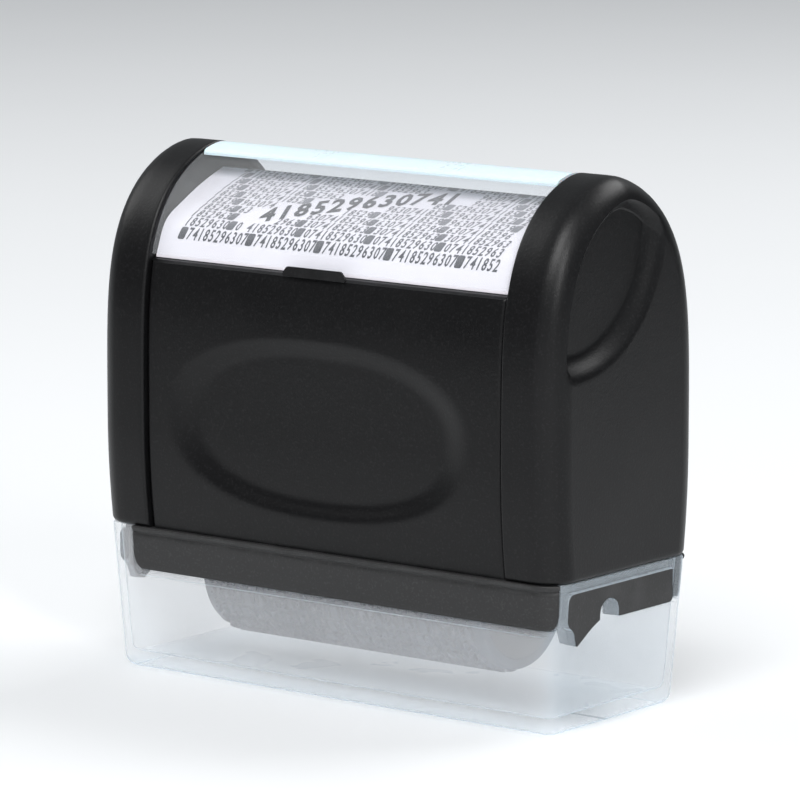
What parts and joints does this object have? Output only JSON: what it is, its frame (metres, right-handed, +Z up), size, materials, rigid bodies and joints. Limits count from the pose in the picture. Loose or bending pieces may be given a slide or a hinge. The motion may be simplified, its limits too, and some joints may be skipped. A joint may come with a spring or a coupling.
{
  "type": "self-inking roller stamp",
  "caption": "Hand roller stamp: black arched housing with a label window, an ink-fed rubber roller below and a frosted lift-off cap.",
  "frame": {"origin": "centre of the cap's underside, on the table", "axes": "+X along the stamp and along both roller axes, -Y towards the front panel that carries the label, +Z up"},
  "size_m": [0.062, 0.0264, 0.0575],
  "materials": {
    "black_shell": "fine grained satin black",
    "dark_frame": "fine grained satin charcoal",
    "steel": "ground",
    "label_paper": "coated paper",
    "grey_nylon": "moulded",
    "white_nylon": "moulded",
    "printing_rubber": "moulded rubber with raised print",
    "ink_felt": "felt soaked with black ink",
    "clear_plastic": "polished clear plastic",
    "pale_rail": "pale translucent plastic",
    "frosted_cap": "frosted clear plastic"
  },
  "bodies": {
    "housing": {"mid_shell": "black_shell", "left_end_cover": "black_shell", "right_end_cover": "black_shell", "lower_frame": "dark_frame", "frame_screws": "steel", "label_card": "label_paper", "cover_pins": "steel", "left_cheek": "grey_nylon", "right_cheek": "grey_nylon", "tie_bars": "grey_nylon", "ink_hood": "grey_nylon", "printing_axle": "steel", "ink_axle": "steel", "axle_clips": "steel"},
    "printing_roller": {"printing_core": "white_nylon", "printing_rubber": "printing_rubber", "printing_bushes": "white_nylon"},
    "ink_roller": {"ink_core": "white_nylon", "ink_felt": "ink_felt", "ink_bushes": "white_nylon"},
    "window": {"label_cover": "clear_plastic", "cover_rail": "pale_rail"},
    "cap": {"cap": "frosted_cap"}
  },
  "joints": [
    {"name": "printing_roller_spin", "type": "hinge", "parent": "housing", "child": "printing_roller", "pos_m": [0, -0.002, 0.012], "axis": [1, 0, 0], "continuous": true},
    {"name": "ink_roller_spin", "type": "hinge", "parent": "housing", "child": "ink_roller", "pos_m": [0, 0.0015, 0.02566], "axis": [1, 0, 0], "continuous": true},
    {"name": "window_hinge", "type": "hinge", "parent": "housing", "child": "window", "pos_m": [0, 0.0105, 0.0467], "axis": [-1, 0, 0], "range_deg": [0, 80]},
    {"name": "cap_pull", "type": "slide", "parent": "housing", "child": "cap", "axis": [0, 0, -1], "range_m": [0, 0.03]}
  ],
  "couplings": [
    {"joint": "ink_roller_spin", "follows": "printing_roller_spin", "ratio": -1.3333}
  ]
}
